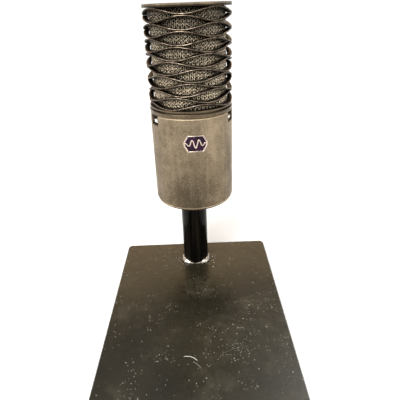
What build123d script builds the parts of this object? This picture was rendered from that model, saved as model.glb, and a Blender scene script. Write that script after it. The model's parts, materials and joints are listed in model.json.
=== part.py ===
from build123d import *
import os
from math import cos, pi, radians, sin

# Side-address ribbon microphone screwed on a steel display stand. Millimetres, +Z up, front towards -Y.
# The origin is on the floor, below the centre of the whole object's bounding box.

# Stand
PLATE_WIDTH = 103.0
PLATE_LENGTH = 155.0
PLATE_THICKNESS = 6.35
PLATE_CORNER_RADIUS = 3.0
PLATE_BEVEL = 0.6
PLATE_BACK_MARGIN = 15.5        # from the tube's axis back to the plate's rear edge
FOOT_RADIUS = 6.5
FOOT_HEIGHT = 2.5
FOOT_INSET = 14.0
TUBE_RADIUS = 8.65
TUBE_BORE = 6.8
TUBE_RISE = 46.4                # from the plate's top face to the microphone's underside
SEAT_GAP = 0.3                  # between the tube's end and the microphone
STUD_RADIUS = 7.94              # 5/8 inch microphone thread
STUD_ENGAGEMENT = 10.0
SPIGOT_DEPTH = 14.0
WELD_REACH = 2.9

# Microphone body, heights from its underside
BODY_RADIUS = 26.5
BODY_WALL = 1.8
BODY_BOTTOM = 0.9
BODY_TOP = 61.5
RIM_CHAMFER = 0.6
BASE_THICKNESS = 5.0
BASE_LIP_RADIUS = 26.0
BODY_TURN = 4.4                 # the body tube and its switches stand a little clockwise on the base
SOCKET_OFFSET = 12.5            # the stud's axis lies this far in front of the microphone's axis
SOCKET_SIDE = 1.0               # and this far to its left
SOCKET_BORE = 7.99
SOCKET_RADIUS = 10.0
SOCKET_FLANGE_RADIUS = 11.2
SOCKET_DEPTH = 12.0
CONNECTOR_OFFSET = 10.5         # the connector's axis lies this far behind the microphone's axis
CONNECTOR_RADIUS = 10.4
CONNECTOR_BORE = 9.4
CONNECTOR_TOP = 19.0
INSULATOR_FACE = 14.5
PIN_RADIUS = 1.19
PIN_SPREAD = 3.81
PIN_TIP = 2.2
PIN_TAIL = 22.0
PIN_SEAT_RADIUS = 1.5
SOLDER_CUP_RADIUS = 1.0

# Badge
BADGE_WIDTH = 14.2
BADGE_HEIGHT = 10.7
BADGE_CUT_ACROSS = 2.2
BADGE_CUT_DOWN = 3.7
BADGE_CENTRE = 46.5
BADGE_BORDER = 0.8
BADGE_PROUD = 0.9
ENAMEL_LOW = 0.35
ENAMEL_HIGH = 0.65

# Slide switches
SWITCH_AZIMUTH = 64.0
WINDOW_WIDTH = 8.2
WINDOW_HEIGHT = 6.5
HOUSING_INNER = 17.5
HOUSING_FACE = 23.4
HOUSING_HALF_WIDTH = 4.4
HOUSING_BOTTOM = 52.5
LEVER_CENTRE = 57.5
LEVER_WIDTH = 3.3
LEVER_HEIGHT = 1.9
LEVER_REACH = 25.7
LEVER_TRAVEL = 2.0

# Chassis inside the body
RAIL_OFFSET = 21.2
RAIL_WIDTH = 4.8
RAIL_FRONT = 2.2
RAIL_BACK = 3.0
BOARD_HALF_WIDTH = 22.6
BOARD_THICKNESS = 1.6
BOARD_BOTTOM = 25.0
BOARD_TOP = 57.0
SCREW_RADIUS = 1.25
SCREW_HEAD_RADIUS = 2.2
SCREW_HEAD_HEIGHT = 1.2
CORE_WIDTH = 20.0
CORE_HEIGHT = 17.0
CORE_DEPTH = 8.0
CORE_BOTTOM = 28.0
CORE_LIMB = 3.4
COIL_OVERHANG = 3.2

# Head guard
DECK_BOTTOM = 62.4
DECK_TOP = 64.1
DECK_RADIUS = 24.6
SPACER_RADIUS = 24.8
SPACER_BORE = 22.2
SPACER_TOP = 65.3
SEAT_RADIUS = 26.3
SEAT_BORE = 23.2
SEAT_TOP = 66.15
CAP_BOTTOM = 123.0
CAP_TOP = 125.0
CAP_CHAMFER = 0.25
RING_COUNT = 14
RING_BORE = 23.3
RING_THICKNESS = 0.8
RING_GAP = 0.05
WAVES_PER_RING = 4
WAVE_POINTS = 48
FIRST_RING_PHASE = -9.9         # azimuth of a trough of the top ring
PHASE_DRIFT = -0.4              # each ring is turned a little further than the one above it
SCREEN_RADIUS = 23.1
SCREEN_BORE = 22.5
ROD_RADIUS = 1.25
ROD_CIRCLE = 20.8
ROD_AZIMUTHS = (35.0, -35.0, 145.0, -145.0)
ROD_BOTTOM = 60.6
NUT_RADIUS = 2.8
NUT_HEIGHT = 1.6

# Ribbon motor
YOKE_HALF_WIDTH = 13.0
YOKE_HALF_DEPTH = 4.0
YOKE_BOTTOM = 71.0
YOKE_TOP = 117.0
WINDOW_HALF_WIDTH = 9.0
WINDOW_BOTTOM = 75.0
WINDOW_TOP = 113.0
BLOCK_HEIGHT = 4.0
MAGNET_INNER = 2.4
MAGNET_HALF_DEPTH = 3.0
RIBBON_HALF_WIDTH = 2.1
RIBBON_THICKNESS = 0.15
RIBBON_FOLD = 0.45
RIBBON_PITCH = 1.5
CLAMP_HALF_WIDTH = 6.0
CLAMP_DEPTH = 2.0
CLAMP_MARGIN = 0.6
CLAMP_SCREW_OFFSET = 4.2
ISOLATOR_RADIUS = 2.6
ISOLATOR_OFFSET = 8.0
GROMMET_BORE = 1.6
GROMMET_NECK = 2.8
GROMMET_LIP = 4.0
LEAD_RADIUS = 0.4
WIRE_RADIUS = 0.6

PLATE_TOP = FOOT_HEIGHT + PLATE_THICKNESS
BACK_REACH = SOCKET_OFFSET + BODY_RADIUS                     # from the tube's axis to the microphone's back
FRONT_REACH = PLATE_LENGTH - PLATE_BACK_MARGIN
TUBE_Y = (FRONT_REACH - BACK_REACH) / 2
MIC_BASE = PLATE_TOP + TUBE_RISE
MIC_PLACE = Location((SOCKET_SIDE, TUBE_Y + SOCKET_OFFSET, MIC_BASE))


# Shape helpers

def block(low, high):
    size = [b - a for a, b in zip(low, high)]
    centre = [(a + b) / 2 for a, b in zip(low, high)]
    return Location(centre) * Box(*size)


def rod(radius, low, high, x=0.0, y=0.0):
    return Location((x, y, (low + high) / 2)) * Cylinder(radius, high - low)


def turned(points):
    """Solid of revolution about Z from an outline of (radius, height) points."""
    return revolve(Plane.XZ * make_face(Polyline(*points, close=True)), Axis.Z)


def at_azimuth(shape, degrees):
    """Turns a shape that faces the front so that it faces this azimuth, counted towards +X."""
    return Rot(0, 0, degrees) * shape


def wire(points, radius, bend):
    """Round wire along straight runs joined by arcs."""
    path = FilletPolyline(*points, radius=bend)
    return sweep(Plane(path @ 0, z_dir=path % 0) * Circle(radius), path=path)


def save(name, *shapes):
    solids = [solid for shape in shapes for solid in shape.solids()]
    export_step(Compound(solids) if len(solids) > 1 else solids[0], "parts/" + name + ".step")


def save_mic(name, *shapes):
    save(name, *[MIC_PLACE * shape for shape in shapes])


# Stand

def base_plate():
    outline = RectangleRounded(PLATE_WIDTH, PLATE_LENGTH, PLATE_CORNER_RADIUS)
    plate = extrude(outline, PLATE_THICKNESS)
    rims = plate.edges().group_by(Axis.Z)
    plate = chamfer(rims[0] + rims[-1], PLATE_BEVEL)
    return Location((0, TUBE_Y + PLATE_BACK_MARGIN - PLATE_LENGTH / 2, FOOT_HEIGHT)) * plate


def rubber_feet():
    foot = turned([(0, 0), (FOOT_RADIUS - 0.8, 0), (FOOT_RADIUS, 0.8), (FOOT_RADIUS, FOOT_HEIGHT),
                   (0, FOOT_HEIGHT)])
    side = PLATE_WIDTH / 2 - FOOT_INSET
    back = TUBE_Y + PLATE_BACK_MARGIN - FOOT_INSET
    front = TUBE_Y - FRONT_REACH + FOOT_INSET
    return [Location((x, y, 0)) * foot for x in (-side, side) for y in (front, back)]


def stand_tube():
    top = TUBE_RISE - SEAT_GAP
    tube = turned([(TUBE_BORE, 0), (TUBE_RADIUS, 0), (TUBE_RADIUS, top - 0.5), (TUBE_RADIUS - 0.5, top),
                   (TUBE_BORE, top)])
    return Location((0, TUBE_Y, PLATE_TOP)) * tube


def threaded_stud():
    top = STUD_ENGAGEMENT
    stud = turned([(0, -SPIGOT_DEPTH), (TUBE_BORE, -SPIGOT_DEPTH), (TUBE_BORE, 0), (STUD_RADIUS, 0),
                   (STUD_RADIUS, top - 0.8), (STUD_RADIUS - 0.8, top), (0, top)])
    return Location((0, TUBE_Y, PLATE_TOP + TUBE_RISE - SEAT_GAP)) * stud


def weld_bead():
    reach = TUBE_RADIUS + WELD_REACH
    bead = turned([(TUBE_RADIUS, 0), (reach, 0), (reach - 0.3, 0.7), (TUBE_RADIUS + 1.1, 1.7),
                   (TUBE_RADIUS + 0.5, 2.8), (TUBE_RADIUS, 3.1)])
    return Location((0, TUBE_Y, PLATE_TOP)) * bead


# Microphone base and connector

def base_cap():
    inner = BODY_RADIUS - BODY_WALL
    disc = turned([(0, 0), (BASE_LIP_RADIUS - 0.3, 0), (BASE_LIP_RADIUS, 0.3),
                   (BASE_LIP_RADIUS, BODY_BOTTOM), (inner, BODY_BOTTOM), (inner, BASE_THICKNESS),
                   (0, BASE_THICKNESS)])
    disc -= rod(SOCKET_RADIUS, -1, BASE_THICKNESS + 1, -SOCKET_SIDE, -SOCKET_OFFSET)
    disc -= rod(CONNECTOR_RADIUS, -1, BASE_THICKNESS + 1, 0, CONNECTOR_OFFSET)
    for screw in base_cap_screws():
        disc -= screw
    return disc


def base_cap_screws():
    head = SCREW_HEAD_HEIGHT
    screw = turned([(0, 0.2), (SCREW_HEAD_RADIUS, 0.2), (SCREW_RADIUS, 0.2 + head), (SCREW_RADIUS, 13),
                    (0, 13)])
    slot = block((-2.5, -0.3, 0), (2.5, 0.3, 0.7))
    return [Location((x, 0, 0)) * (screw - slot) for x in (-RAIL_OFFSET, RAIL_OFFSET)]


def thread_socket():
    top = SOCKET_DEPTH + 1.5
    bush = turned([(SOCKET_BORE + 0.5, 0), (SOCKET_RADIUS, 0), (SOCKET_RADIUS, BASE_THICKNESS),
                   (SOCKET_FLANGE_RADIUS, BASE_THICKNESS), (SOCKET_FLANGE_RADIUS, BASE_THICKNESS + 1.5),
                   (SOCKET_RADIUS, BASE_THICKNESS + 1.5), (SOCKET_RADIUS, top), (0, top),
                   (0, SOCKET_DEPTH), (SOCKET_BORE, SOCKET_DEPTH), (SOCKET_BORE, 0.5)])
    return Location((-SOCKET_SIDE, -SOCKET_OFFSET, 0)) * bush


def xlr_shell():
    shell = turned([(CONNECTOR_BORE + 0.4, 0), (CONNECTOR_RADIUS, 0), (CONNECTOR_RADIUS, CONNECTOR_TOP),
                    (CONNECTOR_BORE, CONNECTOR_TOP), (CONNECTOR_BORE, 0.4)])
    return Location((0, CONNECTOR_OFFSET, 0)) * shell


def pin_places():
    y = CONNECTOR_OFFSET
    return [(-PIN_SPREAD, y), (PIN_SPREAD, y), (0, y - PIN_SPREAD)]


def xlr_insulator():
    disc = rod(CONNECTOR_BORE, INSULATOR_FACE, CONNECTOR_TOP, 0, CONNECTOR_OFFSET)
    for x, y in pin_places():
        disc -= rod(PIN_SEAT_RADIUS, INSULATOR_FACE - 1, CONNECTOR_TOP + 1, x, y)
    return disc


def xlr_pins():
    tip = 0.6
    pin = turned([(0, PIN_TIP), (PIN_RADIUS - tip, PIN_TIP), (PIN_RADIUS, PIN_TIP + tip),
                  (PIN_RADIUS, INSULATOR_FACE), (PIN_SEAT_RADIUS, INSULATOR_FACE),
                  (PIN_SEAT_RADIUS, CONNECTOR_TOP), (SOLDER_CUP_RADIUS, CONNECTOR_TOP),
                  (SOLDER_CUP_RADIUS, PIN_TAIL), (0, PIN_TAIL)])
    return [Location((x, y, 0)) * pin for x, y in pin_places()]


# Body tube and badge

def switch_window():
    half = WINDOW_WIDTH / 2
    return block((-half, -BODY_RADIUS - 2, BODY_TOP - WINDOW_HEIGHT), (half, -HOUSING_FACE, BODY_TOP + 1))


def body_shell():
    inner = BODY_RADIUS - BODY_WALL
    shell = turned([(inner, BODY_BOTTOM), (BODY_RADIUS - RIM_CHAMFER, BODY_BOTTOM),
                    (BODY_RADIUS, BODY_BOTTOM + RIM_CHAMFER), (BODY_RADIUS, BODY_TOP - RIM_CHAMFER / 2),
                    (BODY_RADIUS - RIM_CHAMFER / 2, BODY_TOP), (inner, BODY_TOP)])
    for azimuth in (-SWITCH_AZIMUTH, SWITCH_AZIMUTH):
        shell -= at_azimuth(switch_window(), azimuth)
    return at_azimuth(shell, BODY_TURN)


def badge_outline(margin):
    """Rectangle with cut corners, moved in by a margin."""
    x = BADGE_WIDTH / 2 - margin
    z = BADGE_HEIGHT / 2 - margin
    across = BADGE_CUT_ACROSS - margin / 3
    down = BADGE_CUT_DOWN - margin / 3
    corners = [(x, z - down), (x - across, z), (across - x, z), (-x, z - down), (-x, down - z),
               (across - x, -z), (x - across, -z), (x, down - z)]
    return make_face(Polyline(*corners, close=True))


def badge_prism(face, low, high):
    """The part of a front-facing outline that lies between two radii of the body."""
    depth = BODY_RADIUS + 4
    prism = extrude(Plane(origin=(0, -depth, BADGE_CENTRE), x_dir=(1, 0, 0), z_dir=(0, 1, 0)) * face, 12)
    zone = rod(BODY_RADIUS + high, 0, BODY_TOP) - rod(BODY_RADIUS + low, -1, BODY_TOP + 1)
    return prism & zone


def badge_wave():
    """Outline of the emblem: a plain wave, deepest in the middle."""
    half = BADGE_WIDTH / 2 - BADGE_BORDER + 0.2
    line = 0.42
    steps = 24
    xs = [half * (2 * i / steps - 1) for i in range(steps + 1)]
    zs = [2.7 * cos(pi * x / (2 * half)) * cos(3 * pi * x / half) for x in xs]
    upper = Spline(*[(x, z + line) for x, z in zip(xs, zs)])
    lower = Spline(*[(x, z - line) for x, z in zip(xs, zs)])
    return make_face([upper, lower, Line(upper @ 0, lower @ 0), Line(upper @ 1, lower @ 1)])


def badge_enamel():
    pocket = badge_prism(badge_outline(BADGE_BORDER), ENAMEL_LOW, ENAMEL_HIGH)
    enamel = pocket - badge_prism(badge_wave(), ENAMEL_LOW - 0.1, ENAMEL_HIGH + 0.1)
    return at_azimuth(enamel, BODY_TURN)


def badge_frame():
    plate = badge_prism(badge_outline(0), 0, BADGE_PROUD)
    pocket = badge_prism(badge_outline(BADGE_BORDER), ENAMEL_LOW, BADGE_PROUD + 0.2)
    wave = badge_prism(badge_wave(), ENAMEL_LOW - 0.1, BADGE_PROUD - 0.1)
    return at_azimuth(plate - (pocket - wave), BODY_TURN)


# Slide switches: each faces the front here and is turned to its own azimuth

def switch_housing(azimuth):
    half = HOUSING_HALF_WIDTH
    body = block((-half, -HOUSING_FACE, HOUSING_BOTTOM), (half, -HOUSING_INNER, DECK_BOTTOM))
    cavity = block((-3.0, -22.0, 55.8), (3.0, -20.0, 61.15))
    slot = block((-2.0, -HOUSING_FACE - 1, 56.1), (2.0, -21.0, 60.9))
    return at_azimuth(body - cavity - slot, azimuth + BODY_TURN)


def switch_lever(azimuth):
    half = LEVER_WIDTH / 2
    low = LEVER_CENTRE - LEVER_HEIGHT / 2
    high = LEVER_CENTRE + LEVER_HEIGHT / 2
    nub = block((-half, -LEVER_REACH, low), (half, -21.0, high))
    nub = fillet(nub.edges().group_by(Axis.Y)[0], 0.35)
    carriage = block((-2.6, -21.65, 56.2), (2.6, -20.35, 58.8))
    return at_azimuth(nub + carriage, azimuth + BODY_TURN)


# Chassis and electronics

def chassis_rail(side):
    x = side * RAIL_OFFSET
    rail = block((x - RAIL_WIDTH / 2, -RAIL_FRONT, BASE_THICKNESS),
                 (x + RAIL_WIDTH / 2, RAIL_BACK, DECK_BOTTOM))
    for screw in base_cap_screws() + deck_screws() + board_screws():
        rail -= screw
    return rail


def circuit_board():
    board = block((-BOARD_HALF_WIDTH, RAIL_BACK, BOARD_BOTTOM),
                  (BOARD_HALF_WIDTH, RAIL_BACK + BOARD_THICKNESS, BOARD_TOP))
    for screw in board_screws():
        board -= screw
    return board


def board_screws():
    back = RAIL_BACK + BOARD_THICKNESS
    screw = Rot(90, 0, 0) * turned([(0, -1.3), (1.8, -1.3), (2.0, 0), (1.0, 0), (1.0, 5), (0, 5)])
    return [Location((x, back, z)) * screw for x in (-RAIL_OFFSET, RAIL_OFFSET)
            for z in (BOARD_BOTTOM + 4, BOARD_TOP - 4)]


def board_components():
    back = RAIL_BACK + BOARD_THICKNESS
    parts = []
    for x in (-11.0, -3.5, 4.0):
        parts.append(Location((x, back + 4.5, 46)) * Rot(90, 0, 0) * Cylinder(3.1, 9))
    for x in (-14.5, -9.5, 9.5, 14.5):
        parts.append(block((x - 1.1, back, 33), (x + 1.1, back + 2, 39)))
    parts.append(block((-4.5, back, 32), (4.5, back + 2.6, 38)))
    parts.append(block((9.5, back, 44), (15.5, back + 4.5, 51)))
    return parts


def transformer_core():
    front = RAIL_BACK - CORE_DEPTH
    half = CORE_WIDTH / 2
    core = block((-half, front, CORE_BOTTOM), (half, RAIL_BACK, CORE_BOTTOM + CORE_HEIGHT))
    return core - transformer_windows(front - 1, RAIL_BACK + 1)


def transformer_windows(front, back):
    """The two openings of the laminated core, one each side of the middle limb."""
    inner = CORE_LIMB
    outer = CORE_WIDTH / 2 - CORE_LIMB
    low = CORE_BOTTOM + CORE_LIMB
    high = CORE_BOTTOM + CORE_HEIGHT - CORE_LIMB
    return block((-outer, front, low), (-inner, back, high)) + block((inner, front, low), (outer, back, high))


def transformer_coil():
    """Winding on the middle limb: it fills both windows and stands out in front of the core."""
    front = RAIL_BACK - CORE_DEPTH
    outer = CORE_WIDTH / 2 - CORE_LIMB
    low = CORE_BOTTOM + CORE_LIMB
    high = CORE_BOTTOM + CORE_HEIGHT - CORE_LIMB
    nose = block((-outer, front - COIL_OVERHANG, low), (outer, front, high))
    nose = fillet(nose.edges().filter_by(Axis.Z).group_by(Axis.Y)[0], 2.0)
    return nose + transformer_windows(front, RAIL_BACK)


# Deck, collar and head guard

def deck_screws():
    head = SCREW_HEAD_HEIGHT
    screw = turned([(0, DECK_TOP), (SCREW_HEAD_RADIUS - 0.2, DECK_TOP), (SCREW_RADIUS, DECK_TOP - head),
                    (SCREW_RADIUS, 54), (0, 54)])
    return [Location((x, 0, 0)) * screw for x in (-19.9, 19.9)]


def deck_plate():
    deck = rod(DECK_RADIUS, DECK_BOTTOM, DECK_TOP) - rod(GROMMET_NECK, DECK_BOTTOM - 1, DECK_TOP + 1)
    for shape in tie_rods() + deck_screws():
        deck -= shape
    return deck


def lead_grommet():
    lip = 0.8
    return turned([(GROMMET_BORE, DECK_BOTTOM - lip), (GROMMET_LIP, DECK_BOTTOM - lip),
                   (GROMMET_LIP, DECK_BOTTOM), (GROMMET_NECK, DECK_BOTTOM), (GROMMET_NECK, DECK_TOP),
                   (GROMMET_LIP, DECK_TOP), (GROMMET_LIP, DECK_TOP + lip), (GROMMET_BORE, DECK_TOP + lip)])


def head_collar():
    return turned([(DECK_RADIUS, BODY_TOP), (BODY_RADIUS - 0.3, BODY_TOP), (BODY_RADIUS, BODY_TOP + 0.3),
                   (BODY_RADIUS, DECK_TOP - 0.3), (BODY_RADIUS - 0.3, DECK_TOP), (DECK_RADIUS, DECK_TOP)])


def spacer_ring():
    return rod(SPACER_RADIUS, DECK_TOP, SPACER_TOP) - rod(SPACER_BORE, DECK_TOP - 1, SPACER_TOP + 1)


def seat_ring():
    return rod(SEAT_RADIUS, SPACER_TOP, SEAT_TOP) - rod(SEAT_BORE, SPACER_TOP - 1, SEAT_TOP + 1)


RING_PITCH = (CAP_BOTTOM - SEAT_TOP - RING_GAP) / RING_COUNT
WAVE_AMPLITUDE = (RING_PITCH - RING_GAP - RING_THICKNESS) / 2


def wave_line(radius):
    """Closed wave on a cylinder, with a crest at azimuth 0."""
    turns = [2 * pi * i / WAVE_POINTS for i in range(WAVE_POINTS)]
    points = [(radius * sin(a), -radius * cos(a), WAVE_AMPLITUDE * cos(WAVES_PER_RING * a)) for a in turns]
    return Spline(*points, periodic=True)


def wave_ring(number, flat_wave):
    """A ring of the stack, counted from the top. Every other ring is turned by half a wave."""
    centre = CAP_BOTTOM - RING_GAP - RING_PITCH / 2 + RING_GAP / 2 - (number - 1) * RING_PITCH
    crest = FIRST_RING_PHASE + PHASE_DRIFT * (number - 1) ** 2
    if number % 2:
        crest += 180 / WAVES_PER_RING
    return Location((0, 0, centre - RING_THICKNESS / 2)) * Rot(0, 0, crest + BODY_TURN) * flat_wave


def mesh_screen():
    return rod(SCREEN_RADIUS, SPACER_TOP, CAP_BOTTOM) - rod(SCREEN_BORE, SPACER_TOP - 1, CAP_BOTTOM + 1)


def top_cap():
    edge = BODY_RADIUS - CAP_CHAMFER
    return turned([(0, CAP_BOTTOM), (edge, CAP_BOTTOM), (BODY_RADIUS, CAP_BOTTOM + CAP_CHAMFER),
                   (BODY_RADIUS, CAP_TOP - CAP_CHAMFER), (edge, CAP_TOP), (0, CAP_TOP)])


def rod_places():
    return [(ROD_CIRCLE * sin(radians(a)), -ROD_CIRCLE * cos(radians(a))) for a in ROD_AZIMUTHS]


def tie_rods():
    return [rod(ROD_RADIUS, ROD_BOTTOM, CAP_BOTTOM, x, y) for x, y in rod_places()]


def tie_rod_nuts():
    nut = extrude(RegularPolygon(NUT_RADIUS, 6) - Circle(ROD_RADIUS), NUT_HEIGHT)
    return [Location((x, y, DECK_BOTTOM - NUT_HEIGHT)) * nut for x, y in rod_places()]


# Ribbon motor

def motor_yoke():
    frame = block((-YOKE_HALF_WIDTH, -YOKE_HALF_DEPTH, YOKE_BOTTOM),
                  (YOKE_HALF_WIDTH, YOKE_HALF_DEPTH, YOKE_TOP))
    return frame - block((-WINDOW_HALF_WIDTH, -YOKE_HALF_DEPTH - 1, WINDOW_BOTTOM),
                         (WINDOW_HALF_WIDTH, YOKE_HALF_DEPTH + 1, WINDOW_TOP))


def magnet(side):
    """Bar magnet with its inner edges bevelled towards the ribbon."""
    depth = MAGNET_HALF_DEPTH
    outline = [(MAGNET_INNER, -depth + 1.2), (MAGNET_INNER + 1.8, -depth), (WINDOW_HALF_WIDTH, -depth),
               (WINDOW_HALF_WIDTH, depth), (MAGNET_INNER + 1.8, depth), (MAGNET_INNER, depth - 1.2)]
    face = make_face(Polyline(*[(side * x, y) for x, y in outline], close=True))
    length = WINDOW_TOP - WINDOW_BOTTOM - 2 * BLOCK_HEIGHT
    return extrude(Location((0, 0, WINDOW_BOTTOM + BLOCK_HEIGHT)) * face, length, dir=(0, 0, 1))


def terminal_block(low):
    body = block((-WINDOW_HALF_WIDTH, 0, low), (WINDOW_HALF_WIDTH, YOKE_HALF_DEPTH, low + BLOCK_HEIGHT))
    for screw in clamp_screws():
        body -= screw
    return body


def lower_block_bottom():
    return WINDOW_BOTTOM


def upper_block_bottom():
    return WINDOW_TOP - BLOCK_HEIGHT


def ribbon():
    """Folded foil between the clamps, flat at both ends."""
    low = WINDOW_BOTTOM + BLOCK_HEIGHT
    high = WINDOW_TOP - BLOCK_HEIGHT
    folds = round((high - low) / RIBBON_PITCH) * 2
    centre = [(0, WINDOW_BOTTOM + CLAMP_MARGIN), (0, low)]
    for i in range(1, folds):
        centre.append((RIBBON_FOLD if i % 2 else -RIBBON_FOLD, low + (high - low) * i / folds))
    centre += [(0, high), (0, WINDOW_TOP - CLAMP_MARGIN)]
    outline = [(y - RIBBON_THICKNESS, z) for y, z in centre] + [(y, z) for y, z in reversed(centre)]
    face = Plane.YZ * make_face(Polyline(*outline, close=True))
    return extrude(face, RIBBON_HALF_WIDTH, both=True)


def ribbon_clamps():
    bars = []
    for low in (lower_block_bottom(), upper_block_bottom()):
        bar = block((-CLAMP_HALF_WIDTH, -RIBBON_THICKNESS - CLAMP_DEPTH, low + CLAMP_MARGIN),
                    (CLAMP_HALF_WIDTH, -RIBBON_THICKNESS, low + BLOCK_HEIGHT - CLAMP_MARGIN))
        for screw in clamp_screws():
            bar -= screw
        bars.append(bar)
    return bars


def clamp_screws():
    face = -RIBBON_THICKNESS - CLAMP_DEPTH
    screw = Rot(-90, 0, 0) * turned([(0, -0.8), (1.2, -0.8), (1.2, 0), (0.6, 0), (0.6, 5), (0, 5)])
    middle = BLOCK_HEIGHT / 2
    return [Location((x, face, low + middle)) * screw
            for x in (-CLAMP_SCREW_OFFSET, CLAMP_SCREW_OFFSET)
            for low in (lower_block_bottom(), upper_block_bottom())]


def rubber_isolators():
    bushes = []
    for low, high in ((DECK_TOP, YOKE_BOTTOM), (YOKE_TOP, CAP_BOTTOM)):
        middle = (low + high) / 2
        waist = ISOLATOR_RADIUS * 0.7
        bush = turned([(0, low), (ISOLATOR_RADIUS, low), (waist, middle), (ISOLATOR_RADIUS, high), (0, high)])
        bushes += [Location((x, 0, 0)) * bush for x in (-ISOLATOR_OFFSET, ISOLATOR_OFFSET)]
    return bushes


def ribbon_leads():
    """From the clamps, beside the yoke, through the grommet to the transformer's winding."""
    face = -RIBBON_THICKNESS - CLAMP_DEPTH - LEAD_RADIUS - 0.05
    front = -YOKE_HALF_DEPTH - 1.2
    coil_top = CORE_BOTTOM + CORE_HEIGHT + 0.5
    start = 1.5
    beside = YOKE_HALF_WIDTH - 2.5
    x = GROMMET_BORE / 2
    y = -0.4
    turn = DECK_TOP + 2.2
    low = lower_block_bottom() + BLOCK_HEIGHT / 2
    high = upper_block_bottom() + BLOCK_HEIGHT / 2
    lower = [(-start, face, low), (-start, front, low), (-start, front, turn + 3), (-x, y, turn),
             (-x, y, coil_top)]
    upper = [(start, face, high), (start, front, high), (beside, front, high), (beside, front, turn + 2),
             (x, y, turn), (x, y, coil_top)]
    return [wire(lower, LEAD_RADIUS, 0.9), wire(upper, LEAD_RADIUS, 0.9)]


def output_wires():
    """From the board's lower edge to the connector's solder ends."""
    back = RAIL_BACK + BOARD_THICKNESS
    wires = []
    for x, y in pin_places():
        rise = BOARD_BOTTOM + 3.5 - (1.2 if x == 0 else 0)
        bend = min(2.0, (y - back) / 2)
        wires.append(wire([(x, y, PIN_TAIL), (x, y, rise), (x, back, rise)], WIRE_RADIUS, bend))
    return wires


os.makedirs("parts", exist_ok=True)

save("base_plate", base_plate())
save("rubber_feet", *rubber_feet())
save("stand_tube", stand_tube())
save("threaded_stud", threaded_stud())
save("weld_bead", weld_bead())

save_mic("base_cap", base_cap())
save_mic("base_cap_screws", *base_cap_screws())
save_mic("thread_socket", thread_socket())
save_mic("xlr_shell", xlr_shell())
save_mic("xlr_insulator", xlr_insulator())
save_mic("xlr_pins", *xlr_pins())
save_mic("body_shell", body_shell())
save_mic("badge_frame", badge_frame())
save_mic("badge_enamel", badge_enamel())

save_mic("low_cut_switch_housing", switch_housing(-SWITCH_AZIMUTH))
save_mic("low_cut_lever", switch_lever(-SWITCH_AZIMUTH))
save_mic("pad_switch_housing", switch_housing(SWITCH_AZIMUTH))
save_mic("pad_lever", switch_lever(SWITCH_AZIMUTH))

save_mic("left_chassis_rail", chassis_rail(-1))
save_mic("right_chassis_rail", chassis_rail(1))
save_mic("circuit_board", circuit_board())
save_mic("board_screws", *board_screws())
save_mic("board_components", *board_components())
save_mic("transformer_core", transformer_core())
save_mic("transformer_coil", transformer_coil())
save_mic("output_wires", *output_wires())

save_mic("deck_plate", deck_plate())
save_mic("deck_screws", *deck_screws())
save_mic("lead_grommet", lead_grommet())
save_mic("head_collar", head_collar())
save_mic("spacer_ring", spacer_ring())
save_mic("seat_ring", seat_ring())
wave_face = Face.make_surface_from_curves(wave_line(BODY_RADIUS), wave_line(RING_BORE))
flat_wave = extrude(wave_face, RING_THICKNESS, dir=(0, 0, 1))
for ring_number in range(1, RING_COUNT + 1):
    save_mic(f"wave_ring_{ring_number:02d}", wave_ring(ring_number, flat_wave))
save_mic("mesh_screen", mesh_screen())
save_mic("top_cap", top_cap())
save_mic("tie_rods", *tie_rods())
save_mic("tie_rod_nuts", *tie_rod_nuts())

save_mic("motor_yoke", motor_yoke())
save_mic("left_magnet", magnet(-1))
save_mic("right_magnet", magnet(1))
save_mic("lower_terminal_block", terminal_block(lower_block_bottom()))
save_mic("upper_terminal_block", terminal_block(upper_block_bottom()))
save_mic("ribbon", ribbon())
save_mic("ribbon_clamps", *ribbon_clamps())
save_mic("clamp_screws", *clamp_screws())
save_mic("rubber_isolators", *rubber_isolators())
save_mic("ribbon_leads", *ribbon_leads())
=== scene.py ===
"""Looks for the ribbon microphone on its display stand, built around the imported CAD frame.

Lengths are in millimetres and multiplied by MM where they meet Blender, which works in metres.
Places taken from the frame are in metres already, and so are the floor, the cards of light and
the points passed between functions.
"""

import json
import math
import random

import bpy
import numpy as np
from mathutils import Matrix, Vector


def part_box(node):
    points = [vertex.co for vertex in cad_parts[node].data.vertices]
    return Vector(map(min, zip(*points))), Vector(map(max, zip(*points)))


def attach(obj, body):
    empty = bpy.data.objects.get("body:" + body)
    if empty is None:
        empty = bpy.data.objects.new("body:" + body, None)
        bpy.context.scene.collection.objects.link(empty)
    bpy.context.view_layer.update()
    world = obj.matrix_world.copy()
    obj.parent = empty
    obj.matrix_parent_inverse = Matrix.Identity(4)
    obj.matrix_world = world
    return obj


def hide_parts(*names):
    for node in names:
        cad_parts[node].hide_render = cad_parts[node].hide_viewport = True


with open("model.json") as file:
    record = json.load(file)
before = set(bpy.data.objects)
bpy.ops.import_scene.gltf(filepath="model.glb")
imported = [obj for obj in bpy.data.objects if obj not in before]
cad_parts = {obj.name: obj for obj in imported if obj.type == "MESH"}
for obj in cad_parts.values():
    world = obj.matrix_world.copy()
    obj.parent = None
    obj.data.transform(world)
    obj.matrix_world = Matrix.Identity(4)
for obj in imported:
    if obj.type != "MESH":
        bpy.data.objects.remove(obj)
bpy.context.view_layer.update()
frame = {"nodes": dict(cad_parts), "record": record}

MM = 0.001
TAU = 2 * math.pi


def centre_of(node):
    low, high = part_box(node)
    return (low + high) / 2


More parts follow.
